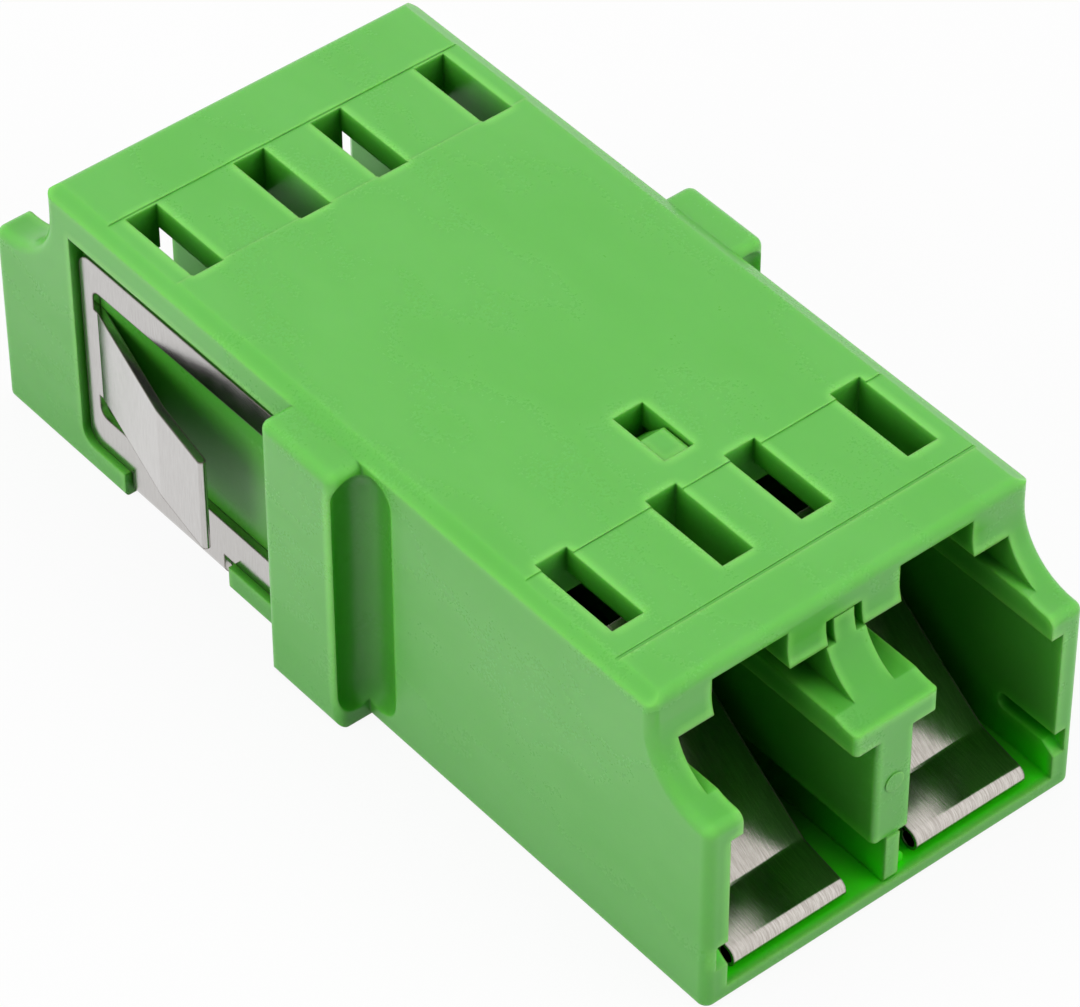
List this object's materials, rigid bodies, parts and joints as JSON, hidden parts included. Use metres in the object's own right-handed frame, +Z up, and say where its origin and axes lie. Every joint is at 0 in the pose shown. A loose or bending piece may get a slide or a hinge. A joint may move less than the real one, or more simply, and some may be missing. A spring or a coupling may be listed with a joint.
{
  "type": "fibre optic adapter",
  "caption": "Duplex fibre adapter: green housing with latch windows and flange wings, sprung shutters in the front ports, split sleeves inside and a folded spring clip for a panel cut-out.",
  "frame": {"origin": "middle of the underside", "axes": "+Y from the shuttered front ports to the open rear ports, +Z up to the latch windows, +X across the two ports"},
  "size_m": [0.0152, 0.03, 0.0094],
  "materials": {
    "housing_plastic": "moulded, semi-gloss",
    "insert_plastic": "moulded, semi-gloss",
    "sleeve_ceramic": "ground and polished",
    "shutter_steel": "rolled strip with a fine grain",
    "clip_steel": "rolled strip with blanked edges"
  },
  "bodies": {
    "adapter": {"housing": "housing_plastic", "divider_insert": "insert_plastic", "split_sleeve_left": "sleeve_ceramic", "split_sleeve_right": "sleeve_ceramic", "mounting_clip": "clip_steel"},
    "left_shutter": {"shutter_left": "shutter_steel"},
    "right_shutter": {"shutter_right": "shutter_steel"}
  },
  "joints": [
    {"name": "shutter_left_swing", "type": "hinge", "parent": "adapter", "child": "left_shutter", "pos_m": [-0.0033, -0.0145, 0.00086], "axis": [1, 0, 0], "range_deg": [-31.5, 0], "stiffness_Nm_per_rad": 0.0002, "springref_deg": 1.15},
    {"name": "shutter_right_swing", "type": "hinge", "parent": "adapter", "child": "right_shutter", "pos_m": [0.00296, -0.0145, 0.00086], "axis": [1, 0, 0], "range_deg": [-31.5, 0], "stiffness_Nm_per_rad": 0.0002, "springref_deg": 1.15}
  ]
}
